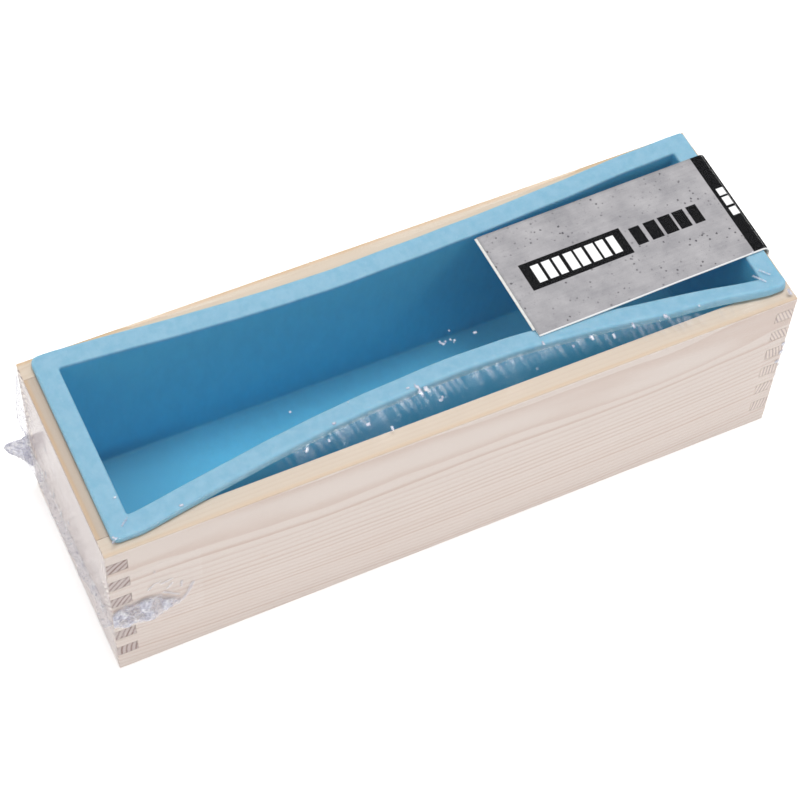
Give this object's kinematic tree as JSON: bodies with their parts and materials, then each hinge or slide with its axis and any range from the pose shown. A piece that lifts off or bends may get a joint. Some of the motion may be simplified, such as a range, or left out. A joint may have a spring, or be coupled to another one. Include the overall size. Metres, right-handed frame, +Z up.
{
  "type": "soap loaf mould",
  "caption": "Finger-jointed wooden box holding a flanged silicone loaf liner, with a folded card label over one end and clear shrink film sealed around it.",
  "frame": {"origin": "centre of the underside, on the plane that the mould rests on", "axes": "+X along the loaf towards the end with the label, -Y the front, +Z up"},
  "size_m": [0.2884, 0.0924, 0.0871],
  "materials": {
    "pine": "planed, unfinished",
    "silicone": "satin",
    "card": "matte print",
    "film": "clear, glossy"
  },
  "bodies": {
    "box": {"front_wall": "pine", "back_wall": "pine", "left_end_wall": "pine", "right_end_wall": "pine", "base_panel": "pine", "film_wrap": "film"},
    "liner": {"silicone_liner": "silicone"},
    "label": {"card_label": "card"},
    "film": {"film_top": "film"}
  },
  "joints": [
    {"name": "liner_lift", "type": "slide", "parent": "box", "child": "liner", "axis": [0, 0, 1], "range_m": [0, 0.09]},
    {"name": "label_lift", "type": "slide", "parent": "liner", "child": "label", "axis": [0, 0, 1], "range_m": [0, 0.06]},
    {"name": "film_lift", "type": "slide", "parent": "label", "child": "film", "axis": [0, 0, 1], "range_m": [0, 0.06]}
  ]
}
